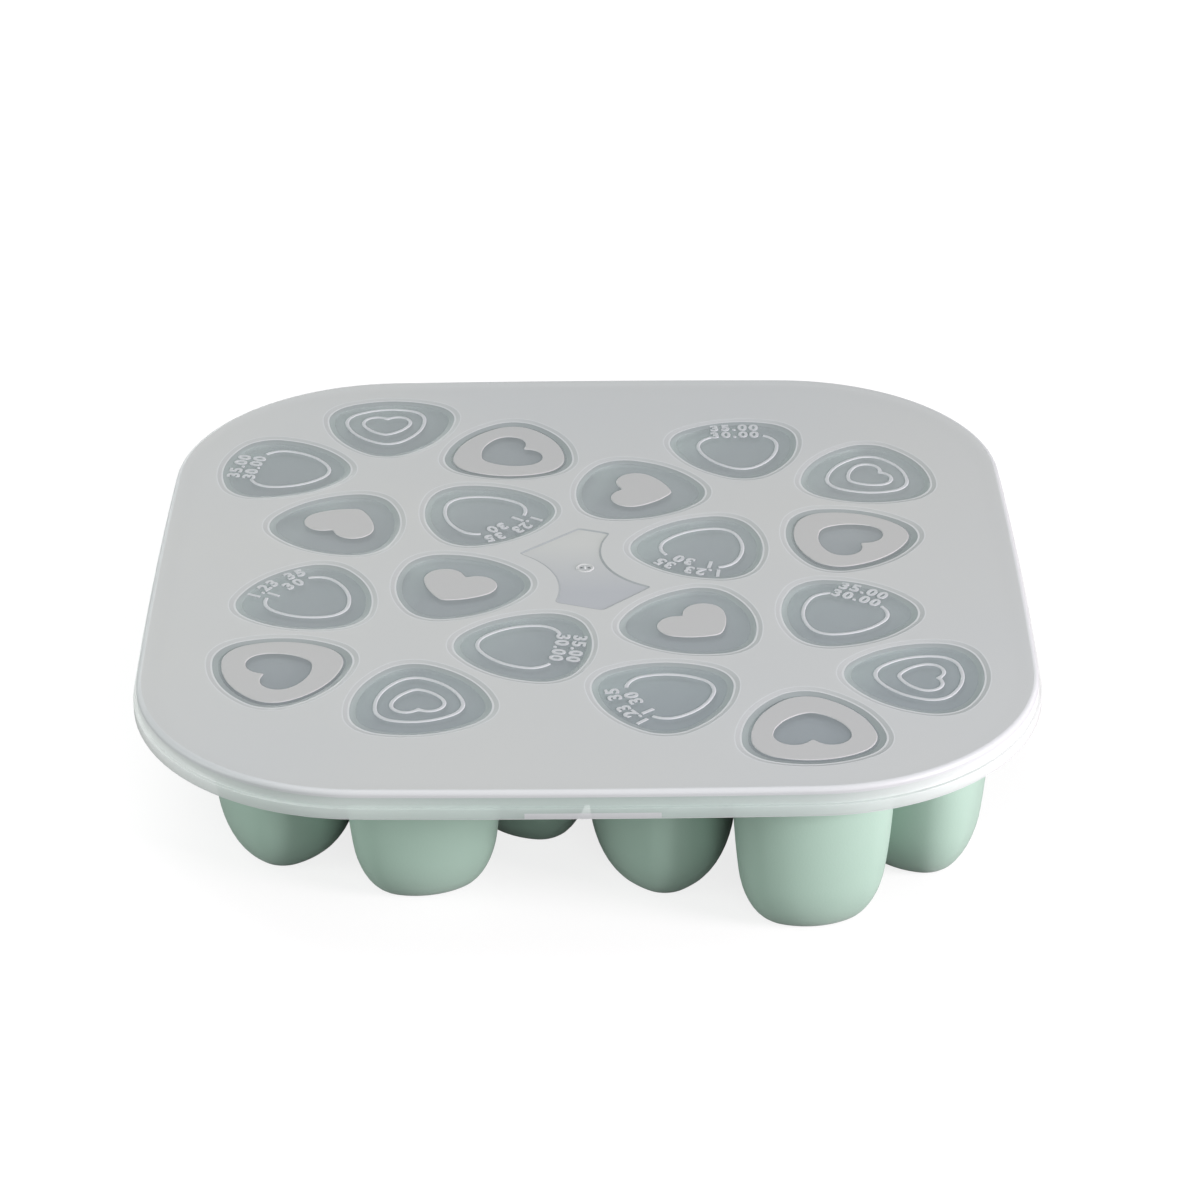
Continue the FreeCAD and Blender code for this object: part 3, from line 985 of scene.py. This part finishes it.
# %% Rows of numbers
ROW_PLACES = {"small": (9.2, 13.4), "large": (8.6, 12.7)}  # distances from the marks' middle
ROW_START = -0.7  # the rows are set this far from the middle, towards their first digit
ROW_WORDS = {"small": ("30.00", "35.00"), "large": ("1 30", "1.23 35")}
ROW_HUB = {"small": 60.0, "large": 14.0}  # how far behind the marks' middle the rows' arcs are centred


def make_numbers():
    points, faces = [], []
    half_sunk = Z_FLOOR + (MARK_H - SUNK) / 2
    for number, normal in NUMBERED.items():
        kind = "small" if number in SMALL_MEASURES else "large"
        hub = np.array(insert_at(number)[:2]) - ROW_HUB[kind] * direction(normal)
        for distance, words in zip(ROW_PLACES[kind], ROW_WORDS[kind]):
            radius = ROW_HUB[kind] + distance
            advances = [ADVANCE.get(character, DIGIT_ADVANCE) for character in words]
            middles = np.cumsum(advances) - np.array(advances) / 2 - sum(advances) / 2 + ROW_START
            for character, middle in zip(words, middles):
                if character == " ":
                    continue
                shape, polygons = DIGITS[character]
                angle = normal - math.degrees(middle / radius)
                plan = placed(shape[:, :2], *(hub + radius * direction(angle)), angle - 90)
                start = len(points)
                points += [(x * MM, y * MM, (half_sunk + z) * MM) for (x, y), z in zip(plan, shape[:, 2])]
                faces += [tuple(start + i for i in polygon) for polygon in polygons]
    whole = bpy.data.meshes.new("window_numbers")
    whole.from_pydata(points, [], faces)
    whole.materials.append(bright_mark)
    return finished("window_numbers", whole)


numbers = make_numbers()
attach(numbers, "lid")

# %% [markdown]
# The stage is a pale floor under plain soft light. The key lamp is large and stands to the right and
# in front, so that the cups on that side are lit and those on the left fall off. A wide fill on the
# left, a weak lamp in front, a low one behind and one from above soften the shadows, and the world
# adds an even light. The floor glows for rays from the camera alone, a little less near the object,
# where the lamps light it too, and pure white farther out. So the background is white with no more
# light on the object, and the floor still keeps the shadow.

# %% Floor, lamps and world
WHITE = (1, 1, 1, 1)
FLOOR_SIDE = 4.0  # metres, from the middle to an edge
FLOOR_GREY = (0.22, 0.22, 0.22, 1)
NEAR_GLOW = (0.8, 0.8, 0.8, 1)
FADE_FROM, FADE_RATE = 0.25, 4  # metres from the middle, and share of the way to white for each metre
WORLD_LIGHT = 0.4
AIM = (0, 0, 0.03)


def make_floor():
    mesh = bpy.data.meshes.new("floor")
    corners = [(x * FLOOR_SIDE, y * FLOOR_SIDE, 0) for x, y in ((-1, -1), (1, -1), (1, 1), (-1, 1))]
    mesh.from_pydata(corners, [], [(0, 1, 2, 3)])
    nodes = Nodes(bpy.data.materials.new("pale_floor"))
    seen = nodes.node("LightPath", {}, {}, "Is Camera Ray")
    matt = nodes.node("BsdfDiffuse", {}, {"Color": FLOOR_GREY}, "BSDF")
    distance = nodes.node("VectorMath", {"operation": "LENGTH"}, {0: nodes.place()}, "Value")
    far = (FADE_RATE * (distance - FADE_FROM)).at_least(0).at_most(1)
    glow_colour = nodes.mixed(far, NEAR_GLOW, WHITE)
    glow = nodes.node("Emission", {}, {"Color": glow_colour, "Strength": seen}, "Emission")
    both = nodes.node("AddShader", {}, {0: matt, 1: glow}, "Shader")
    nodes.node("OutputMaterial", {}, {"Surface": both}, None)
    mesh.materials.append(nodes.owner)
    floor = bpy.data.objects.new("floor", mesh)
    bpy.context.scene.collection.objects.link(floor)


def lamp(name, place, size, power, tint=(1, 1, 1)):
    light = bpy.data.lights.new(name, "AREA")
    light.color = tint
    light.shape, light.size, light.energy = "DISK", size, power
    holder = bpy.data.objects.new(name, light)
    holder.location = place
    holder.rotation_euler = (Vector(AIM) - Vector(place)).to_track_quat("-Z", "Y").to_euler()
    bpy.context.scene.collection.objects.link(holder)


def make_world():
    world = bpy.data.worlds.new("studio")
    bpy.context.scene.world = world
    nodes = Nodes(world)
    path = nodes.node("LightPath", {}, {}, None)
    rays = path.outputs
    seen = Link(nodes, rays["Is Camera Ray"]).at_least(Link(nodes, rays["Is Transmission Ray"]))
    strength = WORLD_LIGHT + (1 - WORLD_LIGHT) * seen
    sky = nodes.node("Background", {}, {"Color": WHITE, "Strength": strength}, "Background")
    nodes.node("OutputWorld", {}, {"Surface": sky}, None)


make_floor()
lamp("key", (1.15, -0.55, 0.36), 0.5, 26.0, (1.0, 0.9, 0.95))
lamp("fill", (-1.3, -0.45, 0.35), 0.8, 10.0)
lamp("front", (0.35, -1.3, 0.6), 0.7, 4.5)
lamp("back", (-0.5, 1.35, 0.14), 0.7, 5.0)
lamp("top", (-0.25, 0.0, 1.3), 0.9, 7.7)
make_world()
bpy.context.scene.view_settings.view_transform = "Standard"
print("stage ready")

# %% [markdown]
# Last, the script prints a line to say that the scene is built.

# %% End
print("the scene is built")
